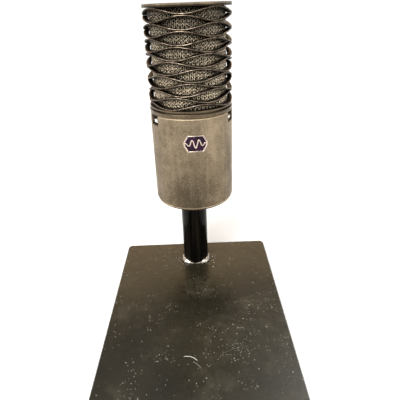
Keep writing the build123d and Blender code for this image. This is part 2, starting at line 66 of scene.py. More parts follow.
# Places taken from the frame
PLATE_LOW, PLATE_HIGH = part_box("base_plate")
TUBE_LOW, TUBE_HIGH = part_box("stand_tube")
FOOT = Vector((centre_of("stand_tube").x, centre_of("stand_tube").y, PLATE_HIGH.z))
TUBE_RADIUS = (TUBE_HIGH.x - TUBE_LOW.x) / 2
BODY_LOW, BODY_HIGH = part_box("body_shell")
BODY_RADIUS = (BODY_HIGH.x - BODY_LOW.x) / 2
MIC_AXIS = Vector((centre_of("body_shell").x, centre_of("body_shell").y, 0))

# Camera: offset from the tube's foot on the plate, angles in degrees
CAMERA_OFFSET = Vector((4.5, -214.6, 168.85)) * MM
CAMERA_YAW = 0.30
CAMERA_PITCH = 21.78
CAMERA_ROLL = -2.1
CAMERA_LENS = 32.2
CAMERA_SHIFT = -0.125

# Light: sky tones from the horizon up to overhead, and where the sun stands and its spread in degrees
SKY_STRENGTH = 1.6
SKY_TONES = ((0.0, 0.64), (0.05, 0.64), (0.2, 0.3), (0.6, 0.22), (0.76, 0.2), (0.95, 0.95))
SUN_FROM = (-0.35, -0.5, 1.0)
SUN_STRENGTH = 2.3
SUN_SPREAD = 32

# Waved rings: edge rounding, distance inside the CAD ring, and room left round the screen
RING_COUNT = 14
RING_STEPS = 288
RING_THICKNESS = 0.8
RING_EDGE = 0.24
RING_INSET = 0.01
RING_GAP = 0.2
WAVES_PER_RING = 4

# Badge border: width, what its corners cut off across and down, corner rounding, heights off the body
BADGE_BORDER = 0.8
BADGE_CUT = (2.2, 3.7)
BADGE_CORNER = 0.7
BADGE_BORDER_HEIGHTS = (0.7, 1.15)

# Badge wave: reach above and below the middle, number of waves, line width, heights off the body
BADGE_WAVE = 2.7
BADGE_WAVES = 3
BADGE_WAVE_WIDTH = 0.84
BADGE_WAVE_HEIGHTS = (0.6, 0.98)
BADGE_WAVE_STEPS = 97

# Points across the round of the border and the wave
BADGE_ROUND = 9

# Knitted screen: loop width, wire radius, and the loops' distance inside the screen's outer face
KNIT_PERIOD = 2.5
KNIT_WIRE = 0.19
KNIT_INSET = 0.46

# Points to a loop, sides to a wire, and how many pieces share the rows
KNIT_STEPS = 18
KNIT_SIDES = 5
KNIT_BANDS = 3

# Knitted loops, in shares of a loop's width over TAU: row height, then swing sideways, up and in
KNIT_ROW = 5.0
KNIT_SWAY = 1.55
KNIT_LIFT = 4.0
KNIT_DEPTH = 0.55

# Gauze behind the knit: distance inside the screen's outer face, thickness, height of its ripples
GAUZE_INSET = 0.95
GAUZE_THICKNESS = 0.12
GAUZE_RIPPLE = 0.08
GAUZE_STEPS = 240
GAUZE_LEVELS = 80

# Painted shade on the screen: clear distance, reach under and over a ring, strength over it, darkening
# towards the top
SHADE_CLEAR = 0.4
SHADE_UNDER_RING = 2.9
SHADE_OVER_RING = 0.7
SHADE_OVER_STRENGTH = 0.7
SHADE_TOP = 0.72
SHADE_TOP_CURVE = 1.6

# Weld: points round and across it, ripple height, least reach, and how far it runs into the tube's wall
WELD_STEPS = 200
WELD_ARC_STEPS = 7
WELD_RIPPLE = 0.08
WELD_CLEAR = 0.02
WELD_LAP = 0.05

# Weld spatter: middle azimuth of each cluster and its number of drops, and how far they spread, in degrees
SPATTER = ((-90, 20), (85, 20), (5, 7), (180, 8))
SPATTER_SPREAD = 22

# Drops of spatter: clear distance from the tube, spread beyond it, smallest and largest radius
DROP_CLEAR = 2.6
DROP_SPREAD = 2.4
DROP_SIZES = (0.1, 0.32)
DROP_SIDES = 8
DROP_LEVELS = 3
DROP_HEIGHT = 0.8

# Tumbled steel, darker towards the foot of the body as a painted reflection of the dark plate: heights in
# millimetres, and by how much
STEEL_HEIGHTS = (BODY_LOW.z / MM, BODY_HIGH.z / MM)
PLATE_REFLECTION_FADE = 0.035
STEEL_DARK = (0.112, 0.086, 0.055)
STEEL_LIGHT = (0.285, 0.226, 0.152)
COLLAR_DARK = (0.05, 0.037, 0.023)
COLLAR_LIGHT = (0.14, 0.108, 0.07)
CAP_DARK = (0.09, 0.068, 0.045)
CAP_LIGHT = (0.22, 0.175, 0.118)
# Painted shade for the lower half of the cap's rim
CAP_SHADE = (0.012, 0.009, 0.006)

# Rubbed wear with a painted highlight at the steel's edges, and painted shade below the cap's middle, in
# millimetres above these heights: where it starts and where it is full
RUB_AND_HIGHLIGHT_BOTTOM = (1.1, 0.6)
RUB_AND_HIGHLIGHT_TOP = (-0.7, -0.4)
CAP_SHADE_REACH = (0.2, -0.15)

# Pits in tumbled steel: how many to a millimetre, size as a share of the gap between them, rarity
STEEL_PITS = ((0.9, 0.22, 0.55), (0.45, 0.12, 0.6))

# Specks on the plate: how many to a millimetre, size as a share of the gap between them, strength
SPECK_SIZES = ((1.3, 0.48, 0.25), (0.8, 0.29, 0.45), (0.3, 0.105, 0.85))

# Crowded specks on the plate: centre x and y, reach along x and y
SPECK_CROWDS = (
    (-16, 2, 7, 5),
    (-25, -8, 8, 9),
    (-33, -48, 7, 14),
    (46, 5, 3, 15),
    (5, -20, 10, 6),
    (20, -28, 14, 9),
    (25, -46, 7, 5),
    (-18, -31, 8, 5),
)

# Scratches on the plate: centre x and y, radius, first and last angle, half width, strength
SCRATCHES = (
    (-5.8, -38.0, 7.2, 34, 106, 0.21, 0.75),
    (-8.0, -44.0, 11.5, 28, 62, 0.2, 0.2),
    (-14.0, 2.0, 30.0, -50, -20, 0.12, 0.08),
    (24.0, -46.0, 19.0, 90, 130, 0.14, 0.08),
)
SCRATCH_FADE = 12

# Half the floor's width, in metres
FLOOR_SIZE = 6.0


# Node materials

class Finish:
    """A node material being built. Its textures are laid out in millimetres on the object."""

    def __init__(self, name):
        self.material = bpy.data.materials.new(name)
        self.material.use_nodes = True
        self.tree = self.material.node_tree
        self.shader = self.tree.nodes["Principled BSDF"]
        self.coordinates = self.node("ShaderNodeTexCoord")
        self.place = self.scaled((1, 1, 1))

    def node(self, kind, **settings):
        made = self.tree.nodes.new(kind)
        for key, value in settings.items():
            setattr(made, key, value)
        return made

    def feed(self, socket, value):
        if isinstance(value, bpy.types.NodeSocket):
            self.tree.links.new(value, socket)
        elif socket.type == "RGBA" and len(value) == 3:
            socket.default_value = (*value, 1)
        else:
            socket.default_value = value

    def scaled(self, scale, offset=(0, 0, 0)):
        """Object coordinates in millimetres, stretched by a scale along each axis."""
        mapping = self.node("ShaderNodeMapping")
        mapping.inputs["Scale"].default_value = [s / MM for s in scale]
        mapping.inputs["Location"].default_value = offset
        self.tree.links.new(self.coordinates.outputs["Object"], mapping.inputs["Vector"])
        return mapping.outputs["Vector"]

    def noise(self, scale, detail=3.0, roughness=0.5, place=None):
        made = self.node("ShaderNodeTexNoise")
        self.feed(made.inputs["Vector"], place or self.place)
        made.inputs["Scale"].default_value = scale
        made.inputs["Detail"].default_value = detail
        made.inputs["Roughness"].default_value = roughness
        return made.outputs["Fac"]

    def cells(self, scale, place=None):
        """Distance from the nearest of scattered points, and two random numbers for each."""
        made = self.node("ShaderNodeTexVoronoi")
        self.feed(made.inputs["Vector"], place or self.place)
        made.inputs["Scale"].default_value = scale
        split = self.node("ShaderNodeSeparateColor")
        self.feed(split.inputs["Color"], made.outputs["Color"])
        return made.outputs["Distance"], split.outputs["Red"], split.outputs["Green"]

    def axis(self, source, name):
        split = self.node("ShaderNodeSeparateXYZ")
        self.feed(split.inputs["Vector"], source)
        return split.outputs[name]

    def math(self, operation, a, b=0.0):
        made = self.node("ShaderNodeMath", operation=operation)
        self.feed(made.inputs[0], a)
        self.feed(made.inputs[1], b)
        return made.outputs[0]

    def length(self, dx, dy):
        squares = self.math("ADD", self.math("MULTIPLY", dx, dx), self.math("MULTIPLY", dy, dy))
        return self.math("SQRT", squares)

    def stray(self, amount, scale, detail, roughness=0.6):
        """Noise that strays from 0 by up to half an amount either way."""
        centred = self.math("SUBTRACT", self.noise(scale, detail, roughness), 0.5)
        return self.math("MULTIPLY", centred, amount)

    def between(self, value, low, high, out_low=0.0, out_high=1.0):
        """Smooth step from out_low to out_high as the value goes from low to high."""
        made = self.node("ShaderNodeMapRange", interpolation_type="SMOOTHSTEP", clamp=True)
        self.feed(made.inputs["Value"], value)
        made.inputs["From Min"].default_value = low
        made.inputs["From Max"].default_value = high
        made.inputs["To Min"].default_value = out_low
        made.inputs["To Max"].default_value = out_high
        return made.outputs["Result"]

    def ramp(self, value, stops):
        made = self.node("ShaderNodeValToRGB")
        self.feed(made.inputs["Fac"], value)
        elements = made.color_ramp.elements
        while len(elements) < len(stops):
            elements.new(0.5)
        for element, (position, colour) in zip(elements, stops):
            element.position = position
            element.color = (*colour, 1)
        return made.outputs["Color"]

    def mix(self, amount, a, b):
        """Colour a turning into colour b. The node keeps its colour sockets at 6, 7 and 2."""
        made = self.node("ShaderNodeMix", data_type="RGBA")
        self.feed(made.inputs[0], amount)
        self.feed(made.inputs[6], a)
        self.feed(made.inputs[7], b)
        return made.outputs[2]

    def bump(self, height, distance):
        """Bump whose height goes from 0 to 1 over a distance in millimetres."""
        made = self.node("ShaderNodeBump")
        made.inputs["Distance"].default_value = distance * MM
        self.feed(made.inputs["Height"], height)
        return made.outputs["Normal"]

    def done(self, **values):
        for name, value in values.items():
            self.feed(self.shader.inputs[name.replace("_", " ")], value)
        return self.material


def tumbled_steel(name, dark, light, rough=0.5, bottom=None, top=None, under=None):
    """Bare steel tumbled with stones: cloudy, finely dented, with dark pits and short bright nicks.

    It is darker towards the foot of the body, a painted reflection of the dark plate. It is lighter
    along a bottom and a top edge, rubbed wear with a painted highlight, and darker below the height
    named under, painted shade.
    """
    f = Finish(name)
    clouds = f.noise(0.07, 4, 0.6)
    drawn = f.noise(0.3, 3, 0.6, place=f.scaled((1, 1, 0.12)))
    fine = f.noise(1.3, 5, 0.75)
    tone = f.math("ADD", f.math("MULTIPLY", clouds, 0.3), f.math("MULTIPLY", drawn, 0.16))
    tone = f.math("ADD", tone, f.math("MULTIPLY", fine, 0.54))
    height = f.axis(f.place, "Z")
    # Painted reflection of the dark plate: darker towards the foot of the body
    tone = f.math("ADD", tone, f.between(height, *STEEL_HEIGHTS, -PLATE_REFLECTION_FADE, PLATE_REFLECTION_FADE))
    colour = f.ramp(tone, [(0.4, dark), (0.6, light)])
    pits = steel_pits(f)
    colour = f.mix(f.math("MULTIPLY", pits, 0.5), colour, [c * 0.35 for c in dark])
    colour = f.mix(f.math("MULTIPLY", steel_nicks(f), 0.6), colour, [min(1, c * 1.7) for c in light])
    # Lighter edges are rubbed wear with a painted highlight; darker below under is painted shade
    colour = edge_wear_and_lighting(f, colour, height, [min(1, c * 2.9) for c in light], bottom, top, under)
    roughness = f.between(tone, 0.35, 0.65, rough + 0.1, rough - 0.08)
    dents = f.math("SUBTRACT", f.noise(2.0, 4, 0.7), f.math("MULTIPLY", pits, 0.8))
    normal = f.bump(dents, 0.09)
    return f.done(Base_Color=colour, Metallic=1.0, Roughness=roughness, Normal=normal)


def steel_pits(f):
    """Mask of round pits in two sizes."""
    pits = None
    for scale, size, rarity in STEEL_PITS:
        distance, chance, _ = f.cells(scale)
        shape = f.between(distance, size, size * 0.4)
        spots = f.math("MULTIPLY", shape, f.between(chance, rarity, rarity + 0.1))
        pits = spots if pits is None else f.math("MAXIMUM", pits, spots)
    return pits


def steel_nicks(f):
    """Mask of short nicks, longer across than up."""
    distance, chance, _ = f.cells(0.5, f.scaled((0.6, 0.6, 1.4), (9, 5, 2)))
    return f.math("MULTIPLY", f.between(distance, 0.13, 0.05), f.between(chance, 0.68, 0.76))


def edge_wear_and_lighting(f, colour, height, rubbed_highlight, bottom, top, under):
    """Colour lighter at a bottom and a top edge, rubbed wear with a painted highlight, and darker below
    the height named under, painted shade.
    """
    uneven = f.math("ADD", height, f.stray(0.8, 0.5, 3))
    # Rubbed wear with a painted highlight at the edges, painted shade below under
    wear_and_lighting = ((bottom, RUB_AND_HIGHLIGHT_BOTTOM, 0.85, rubbed_highlight),
            (top, RUB_AND_HIGHLIGHT_TOP, 0.5, rubbed_highlight),
            (under, CAP_SHADE_REACH, 0.85, CAP_SHADE))
    for edge, (start, full), amount, tone in wear_and_lighting:
        if edge is not None:
            mask = f.between(uneven, edge / MM + start, edge / MM + full)
            colour = f.mix(f.math("MULTIPLY", mask, amount), colour, tone)
    return colour


def paint_plate():
    """Black paint on rolled plate, with a dusty film that grows lighter towards the front as a painted
    reflection, specks and a few scratches.
    """
    black, worn_black = (0.0085, 0.0073, 0.0038), (0.02, 0.0165, 0.0085)
    dust, speck, bare = (0.066, 0.057, 0.034), (0.55, 0.51, 0.43), (0.85, 0.82, 0.75)
    sheen_reach = 45
    f = Finish("plate_black_paint")
    colour = f.ramp(f.noise(0.02, 4, 0.55), [(0.35, black), (0.65, worn_black)])
    film_and_sheen = f.between(f.noise(0.06, 5, 0.7), 0.5, 0.72, 0.0, 0.3)
    # Painted reflection: the film grows towards the front edge, so the plate's near part is lighter
    front = PLATE_LOW.y / MM
    film_and_sheen = f.math("ADD", film_and_sheen, f.between(f.axis(f.place, "Y"), front + sheen_reach, front, 0.0, 0.4))
    colour = f.mix(film_and_sheen, colour, dust)
    specks = plate_specks(f)
    colour = f.mix(specks, colour, speck)
    colour = f.mix(plate_scratches(f), colour, bare)
    roughness = f.between(f.noise(0.22, 5, 0.65), 0.3, 0.75, 0.25, 0.34)
    roughness = f.math("ADD", roughness, f.math("MULTIPLY", film_and_sheen, 0.25))
    roughness = f.math("MAXIMUM", roughness, f.math("MULTIPLY", specks, 0.7))
    height = f.math("ADD", f.math("MULTIPLY", f.noise(0.9, 3, 0.6), 0.6), specks)
    normal = f.bump(height, 0.04)
    return f.done(Base_Color=colour, Roughness=roughness, Normal=normal, IOR=1.42)


def plate_specks(f):
    """Mask of paint and dust specks, sparse all over and crowded in a few places."""
    crowd = f.between(f.noise(0.05, 4, 0.65), 0.48, 0.68, 0.05, 0.4)
    for middle_x, middle_y, reach_x, reach_y in SPECK_CROWDS:
        dx = f.math("MULTIPLY", f.math("SUBTRACT", f.axis(f.place, "X"), middle_x), 1 / reach_x)
        dy = f.math("MULTIPLY", f.math("SUBTRACT", f.axis(f.place, "Y"), middle_y), 1 / reach_y)
        crowd = f.math("MAXIMUM", crowd, f.between(f.length(dx, dy), 1.1, 0.3, 0.0, 0.8))
    specks = None
    for scale, size, strength in SPECK_SIZES:
        distance, chance, other = f.cells(scale, f.scaled((1, 1, 1), (scale * 40, 3, 0)))
        reach = f.math("MULTIPLY", f.math("MULTIPLY", other, other), size)
        ragged = f.math("ADD", reach, f.stray(size * 0.9, 3.0, 2))
        dot = f.between(f.math("SUBTRACT", ragged, distance), 0.0, 0.04)
        dot = f.math("MULTIPLY", dot, f.math("LESS_THAN", chance, f.math("MULTIPLY", crowd, 0.85)))
        dot = f.math("MULTIPLY", dot, strength)
        specks = dot if specks is None else f.math("MAXIMUM", specks, dot)
    return specks


def plate_scratches(f):
    """Mask of short curved scratches through the paint, each an arc of a circle."""
    mask = None
    for middle_x, middle_y, radius, start, end, width, strength in SCRATCHES:
        dx = f.math("SUBTRACT", f.axis(f.place, "X"), middle_x)
        dy = f.math("SUBTRACT", f.axis(f.place, "Y"), middle_y)
        off = f.math("ABSOLUTE", f.math("SUBTRACT", f.length(dx, dy), radius))
        line = f.between(off, width, width * 0.4)
        angle = f.math("ARCTAN2", dy, dx)
        for tip, fade in ((start, SCRATCH_FADE), (end, -SCRATCH_FADE)):
            faded = f.between(angle, math.radians(tip), math.radians(tip + fade))
            line = f.math("MULTIPLY", line, faded)
        line = f.math("MULTIPLY", line, strength)
        mask = line if mask is None else f.math("MAXIMUM", mask, line)
    return mask


def gloss_paint(name, colour):
    """Gloss paint with a faint lighter haze drawn out along its height, partly a painted reflection of
    vertical bands, and a little dust.
    """
    dust_colour = (0.3, 0.28, 0.24)
    f = Finish(name)
    haze_and_sheen = f.noise(0.4, 4, 0.65, place=f.scaled((1, 1, 0.03)))
    # Lighter streaks along the height: paint haze and painted reflection
    tone = f.ramp(haze_and_sheen, [(0.44, colour), (0.66, [6.0 * c for c in colour])])
    roughness = f.between(f.noise(0.7, 4, 0.6), 0.3, 0.7, 0.07, 0.16)
    distance, chance, _ = f.cells(0.5)
    dust = f.math("MULTIPLY", f.between(distance, 0.1, 0.05), f.between(chance, 0.8, 0.84))
    tone = f.mix(f.math("MULTIPLY", dust, 0.4), tone, dust_colour)
    normal = f.bump(f.noise(0.9, 2, 0.5), 0.02)
    return f.done(Base_Color=tone, Roughness=roughness, Normal=normal, IOR=1.15)


def ring_steel():
    """Tumbled strip: oxide brown all over, its flats a touch darker as painted shade, and its
    upward-facing edges bright, rubbed wear with a painted highlight.
    """
    shaded_face_dark, shaded_face_light = (0.012, 0.0084, 0.0055), (0.06, 0.042, 0.027)
    rim_dark, rim_light = (0.016, 0.011, 0.007), (0.062, 0.044, 0.029)
    edge_highlight_dark, edge_highlight_light = (0.09, 0.064, 0.042), (0.62, 0.5, 0.37)
    f = Finish("ring_steel_painted_highlight_and_shade")
    slope = f.axis(f.coordinates.outputs["Normal"], "Z")
    grime_and_shade = f.noise(0.6, 5, 0.65)
    wear_and_lighting = f.math("ADD", slope, f.math("MULTIPLY", f.math("SUBTRACT", grime_and_shade, 0.5), 0.3))
    # Painted highlight with rubbed wear: bright only on edges that face upwards
    edge = f.math("MULTIPLY", f.between(wear_and_lighting, 0.02, 0.3), f.between(wear_and_lighting, 0.94, 0.8))
    face = f.ramp(grime_and_shade, [(0.35, shaded_face_dark), (0.7, shaded_face_light)])
    rim = f.ramp(grime_and_shade, [(0.35, rim_dark), (0.7, rim_light)])
    bright = f.ramp(f.noise(0.35, 4, 0.7), [(0.36, edge_highlight_dark), (0.64, edge_highlight_light)])
    # Painted shade: the flat faces a touch darker than the rim
    colour = f.mix(f.between(f.math("ABSOLUTE", slope), 0.6, 0.85), rim, face)
    colour = f.mix(edge, colour, bright)
    roughness = f.between(edge, 0, 1, 0.48, 0.3)
    normal = f.bump(f.noise(3.0, 3, 0.6), 0.04)
    return f.done(Base_Color=colour, Metallic=1.0, Roughness=roughness, Normal=normal)


def plain_metal(name, colour, rough, variation=0.25, grain=0.03):
    """Clean metal, clouded by a variation in its tone."""
    f = Finish(name)
    clouds = f.noise(0.4, 4, 0.6)
    tone = f.ramp(clouds, [(0.3, [c * (1 - variation) for c in colour]), (0.7, colour)])
    roughness = f.between(f.noise(1.2, 4, 0.6), 0.3, 0.7, rough * 0.8, rough * 1.3)
    normal = f.bump(f.noise(2.5, 4, 0.6), grain)
    return f.done(Base_Color=tone, Metallic=1.0, Roughness=roughness, Normal=normal)


def plain_plastic(name, colour, rough):
    """Moulded plastic, rubber or lacquer with a fine grain."""
    f = Finish(name)
    tone = f.ramp(f.noise(0.5, 3, 0.6), [(0.3, [c * 0.8 for c in colour]), (0.7, colour)])
    roughness = f.between(f.noise(1.4, 3, 0.6), 0.3, 0.7, rough * 0.85, min(1.0, rough * 1.2))
    normal = f.bump(f.noise(5.0, 3, 0.6), 0.02)
    return f.done(Base_Color=tone, Roughness=roughness, Normal=normal)


def enamel():
    """Glossy purple enamel, nearly black where it has pooled."""
    pooled, thin, bare = (0.002, 0.0002, 0.002), (0.009, 0.0005, 0.008), (0.06, 0.003, 0.05)
    f = Finish("purple_enamel")
    colour = f.ramp(f.noise(0.7, 3, 0.6), [(0.34, pooled), (0.5, thin), (0.66, bare)])
    roughness = f.between(f.noise(1.5, 2, 0.5), 0.3, 0.7, 0.1, 0.2)
    normal = f.bump(f.noise(0.9, 2, 0.5), 0.04)
    return f.done(Base_Color=colour, Roughness=roughness, Normal=normal, IOR=1.25)


def shaded(f, colour):
    """Colour darkened by painted shade under and just over the rings and the cap, and towards the top."""
    shade_colour = (0.008, 0.0055, 0.004)
    grime_and_shade = f.node("ShaderNodeAttribute", attribute_name="grime_and_shade")
    # Painted shade stored on the points, mixed towards a near black
    return f.mix(f.math("MULTIPLY", grime_and_shade.outputs["Fac"], 0.96), colour, shade_colour)


def screen_wire():
    """Bright steel wire, tarnished in patches."""
    dull, clean, bright = (0.28, 0.215, 0.145), (0.72, 0.585, 0.41), (1.0, 0.9, 0.71)
    f = Finish("knitted_steel_wire")
    tone = f.ramp(f.noise(0.8, 4, 0.7), [(0.36, dull), (0.47, clean), (0.57, bright)])
    roughness = f.between(f.noise(0.9, 3, 0.6), 0.3, 0.7, 0.18, 0.34)
    return f.done(Base_Color=shaded(f, tone), Metallic=1.0, Roughness=roughness)


def gauze():
    """The fine inner layer of the screen, seen through the knit, its hollows painted nearly black as
    shade.
    """
    wire, slope, shaded_hole = (0.22, 0.17, 0.115), (0.06, 0.044, 0.03), (0.006, 0.0045, 0.0035)
    f = Finish("inner_gauze")
    distance, chance, _ = f.cells(2.2)
    # Painted shade: nearly black in the hollows between the bumps
    tone = f.ramp(distance, [(0.1, wire), (0.35, slope), (0.6, shaded_hole)])
    normal = f.bump(f.math("SUBTRACT", 1.0, distance), 0.25)
    roughness = f.between(chance, 0, 1, 0.3, 0.6)
    return f.done(Base_Color=shaded(f, tone), Metallic=1.0, Roughness=roughness, Normal=normal)


def weld_metal():
    """Weld painted over with the tube, rubbed back to bare metal on both sides towards the front, placed
    as a painted highlight.
    """
    painted, metal_dark, metal_light = (0.09, 0.08, 0.065), (0.5, 0.43, 0.34), (0.95, 0.9, 0.8)
    f = Finish("weld_bare_metal_and_painted_highlight")
    dx = f.math("SUBTRACT", f.axis(f.place, "X"), FOOT.x / MM)
    dy = f.math("SUBTRACT", f.axis(f.place, "Y"), FOOT.y / MM)
    side = f.math("ABSOLUTE", f.math("ARCTAN2", dx, f.math("MULTIPLY", dy, -1.0)))
    uneven = f.math("ADD", side, f.stray(0.9, 0.5, 4))
    # Painted highlight with bare metal: bright patches towards the front on both sides
    rubbed_highlight = f.math("MULTIPLY", f.between(uneven, 0.35, 0.65), f.between(uneven, 1.75, 1.35))
    metal = f.ramp(f.noise(0.6, 4, 0.6), [(0.35, metal_dark), (0.65, metal_light)])
    tone = f.mix(rubbed_highlight, painted, metal)
    roughness = f.between(f.noise(1.2, 4, 0.6), 0.3, 0.7, 0.18, 0.4)
    normal = f.bump(f.noise(1.5, 4, 0.6), 0.08)
    return f.done(Base_Color=tone, Metallic=1.0, Roughness=roughness, Normal=normal)


def pale_floor():
    f = Finish("pale_floor")
    tone = f.ramp(f.noise(0.004, 2, 0.5), [(0.3, (0.9, 0.9, 0.9)), (0.7, (0.94, 0.94, 0.94))])
    return f.done(Base_Color=tone, Roughness=0.9)


# Mesh making

def points_of(piece):
    """The piece's points as rows of x, y and z in metres."""
    co = np.empty(len(piece.data.vertices) * 3)
    piece.data.vertices.foreach_get("co", co)
    return co.reshape(-1, 3)


def azimuth_of(points):
    """Azimuth of points round the microphone's axis, 0 at the front and growing towards +X."""
    return np.arctan2(points[:, 0] - MIC_AXIS.x, MIC_AXIS.y - points[:, 1])


def make_object(name, points, faces, material):
    mesh = bpy.data.meshes.new(name)
    mesh.from_pydata([tuple(point) for point in points], [], [tuple(face) for face in faces])
    mesh.polygons.foreach_set("use_smooth", [True] * len(mesh.polygons))
    mesh.materials.append(material)
    mesh.update()
    made = bpy.data.objects.new(name, mesh)
    bpy.context.scene.collection.objects.link(made)
    return made


def loop_faces(rows, columns):
    """Quads of a grid that closes on itself both ways."""
    i = np.arange(rows)[:, None]
    j = np.arange(columns)[None, :]
    corners = [i * columns + j, i * columns + (j + 1) % columns,
               ((i + 1) % rows) * columns + (j + 1) % columns, ((i + 1) % rows) * columns + j]
    return np.stack(corners, -1).reshape(-1, 4)


def strip_faces(rows, columns):
    """Quads of a grid that closes across its columns only, with both ends capped."""
    last = (rows - 1) * columns
    first_cap = list(reversed(range(columns)))
    last_cap = [last + corner for corner in range(columns)]
    return loop_faces(rows, columns)[:last].tolist() + [first_cap, last_cap]


def on_axis(azimuth, radius, height):
    """Points round the microphone's axis."""
    x = MIC_AXIS.x + radius * np.sin(azimuth)
    y = MIC_AXIS.y - radius * np.cos(azimuth)
    return np.stack(np.broadcast_arrays(x, y, height), -1)


def rounded_section(width, height, edge, corner_steps=3):
    """Outline of a rectangle with rounded corners, centred on 0."""
    points = []
    for quarter, (sx, sz) in enumerate(((1, 1), (-1, 1), (-1, -1), (1, -1))):
        for step in range(corner_steps + 1):
            angle = (quarter + step / corner_steps) * TAU / 4
            points.append((sx * (width / 2 - edge) + edge * math.cos(angle),
                           sz * (height / 2 - edge) + edge * math.sin(angle)))
    return np.array(points)


# Pieces

def wave_of(node):
    """Centre height, amplitude and crest azimuth of a CAD ring."""
    co = points_of(frame["nodes"][node])
    low, high = co[:, 2].min(), co[:, 2].max()
    middle = (low + high) / 2
    turn = np.sum((co[:, 2] - middle) * np.exp(1j * WAVES_PER_RING * azimuth_of(co)))
    return middle, (high - low - RING_THICKNESS * MM) / 2, np.angle(turn) / WAVES_PER_RING


def screen_reach():
    """Radius of the screen's outer face."""
    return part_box("mesh_screen")[1].x - MIC_AXIS.x


def build_ring(number, material):
    """Ring of strip with rounded edges that follows the wave of its CAD ring."""
    node = f"wave_ring_{number:02d}"
    middle, amplitude, crest = wave_of(node)
    low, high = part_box(node)
    outer = (high.x - low.x) / 2 - RING_INSET * MM
    width = outer - screen_reach() - RING_GAP * MM
    section = rounded_section(width, RING_THICKNESS * MM, RING_EDGE * MM)
    azimuth = np.arange(RING_STEPS)[:, None] * TAU / RING_STEPS
    radius = outer - width / 2 + section[None, :, 0]
    height = middle + amplitude * np.cos(WAVES_PER_RING * (azimuth - crest)) + section[None, :, 1]
    points = on_axis(azimuth, radius, height).reshape(-1, 3)
    ring = make_object(f"ring_{number:02d}", points, loop_faces(RING_STEPS, len(section)), material)
    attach(ring, "microphone")
    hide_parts(node)


def add_painted_shade(piece):
    """Marks each point with painted shade by how close it lies under a ring or the cap, just over one, and
    near the top.
    """
    co = points_of(piece)
    azimuth = azimuth_of(co)
    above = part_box("top_cap")[0].z - co[:, 2]
    below = co[:, 2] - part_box("seat_ring")[1].z
    for number in range(1, RING_COUNT + 1):
        middle, amplitude, crest = wave_of(f"wave_ring_{number:02d}")
        rise = middle + amplitude * np.cos(WAVES_PER_RING * (azimuth - crest)) - co[:, 2]
        above = np.where(rise > 0, np.minimum(above, rise), above)
        below = np.where(rise <= 0, np.minimum(below, -rise), below)
    # Painted shadow under each ring and the cap, and painted shade in the crease just over a ring
    under = np.clip(1 - (above / MM - SHADE_CLEAR) / SHADE_UNDER_RING, 0, 1)
    over = SHADE_OVER_STRENGTH * np.clip(1 - (below / MM - SHADE_CLEAR) / SHADE_OVER_RING, 0, 1)
    low, high = (corner.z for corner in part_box("mesh_screen"))
    # Painted shade, darker towards the top of the screen under the cap
    top_shade = SHADE_TOP * np.clip((co[:, 2] - low) / (high - low), 0, 1) ** SHADE_TOP_CURVE
    attribute = piece.data.attributes.new("grime_and_shade", "FLOAT", "POINT")
    attribute.data.foreach_set("value", 1 - (1 - np.maximum(under, over)) * (1 - top_shade))


def knit_lines(low, high, row, row_height):
    """Centre lines of rows of interlocked wire loops round the axis, and their azimuths.

    Each loop is wider at its head than at its neck, and its heads lie in front of its flanks.
    Slow sines make no two loops quite alike.
    """
    radius = screen_reach() - KNIT_INSET * MM
    loops = round(TAU * radius / (KNIT_PERIOD * MM))
    unit = radius / loops
    turn = np.arange(loops * KNIT_STEPS) * TAU / KNIT_STEPS
    sway = KNIT_SWAY * (1 + 0.12 * np.sin(0.37 * turn + 1.7 * row))
    azimuth = (turn[None, :] + sway * np.sin(2 * turn)[None, :] + 0.35 * np.sin(2.1 * row)) / loops
    lift = KNIT_LIFT * (1 + 0.08 * np.sin(0.21 * turn + 2.9 * row))
    height = low + (row + 1.0) * row_height + unit * lift * np.cos(turn)[None, :]
    depth = KNIT_DEPTH + 0.1 * np.sin(0.9 * turn + 0.6 * row)
    reach = radius + unit * depth * np.cos(2 * turn)[None, :]
    line = on_axis(azimuth, reach, np.clip(height, low + KNIT_WIRE * MM, high - KNIT_WIRE * MM))
    return line, azimuth


def knit_band(name, low, high, row, row_height, material):
    """Wires of round section along the centre lines of some rows of loops."""
    line, azimuth = knit_lines(low, high, row, row_height)
    ahead = np.roll(line, -1, 1) - np.roll(line, 1, 1)
    ahead /= np.linalg.norm(ahead, axis=-1, keepdims=True)
    outward = on_axis(azimuth, 1.0, np.zeros_like(azimuth)) - np.array([MIC_AXIS.x, MIC_AXIS.y, 0])
    side = np.cross(ahead, outward)
    side /= np.linalg.norm(side, axis=-1, keepdims=True)
    over = np.cross(side, ahead)
    points = []
    for corner in range(KNIT_SIDES):
        angle = (corner + 0.5) * TAU / KNIT_SIDES
        points.append(line + KNIT_WIRE * MM * (math.cos(angle) * side + math.sin(angle) * over))
    points = np.stack(points, 2).reshape(-1, 3)
    rows, steps = azimuth.shape
    ring = loop_faces(steps, KNIT_SIDES)
    faces = np.concatenate([ring + r * steps * KNIT_SIDES for r in range(rows)])
    return make_object(name, points, faces, material)


def build_screen():
    """Knitted wire in a few bands of rows, over a finer gauze."""
    low, high = (corner.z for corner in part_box("mesh_screen"))
    loops = round(TAU * screen_reach() / (KNIT_PERIOD * MM))
    rows = int((high - low) / (KNIT_ROW * screen_reach() / loops))
    row_height = (high - low) / (rows + 1)
    material = screen_wire()
    band = math.ceil(rows / KNIT_BANDS)
    for number, first in enumerate(range(0, rows, band)):
        row = np.arange(first, min(first + band, rows))[:, None]
        knit = knit_band(f"screen_knit_{number + 1}", low, high, row, row_height, material)
        add_painted_shade(knit)
        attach(knit, "microphone")
        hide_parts("mesh_screen")
    build_gauze(low, high)


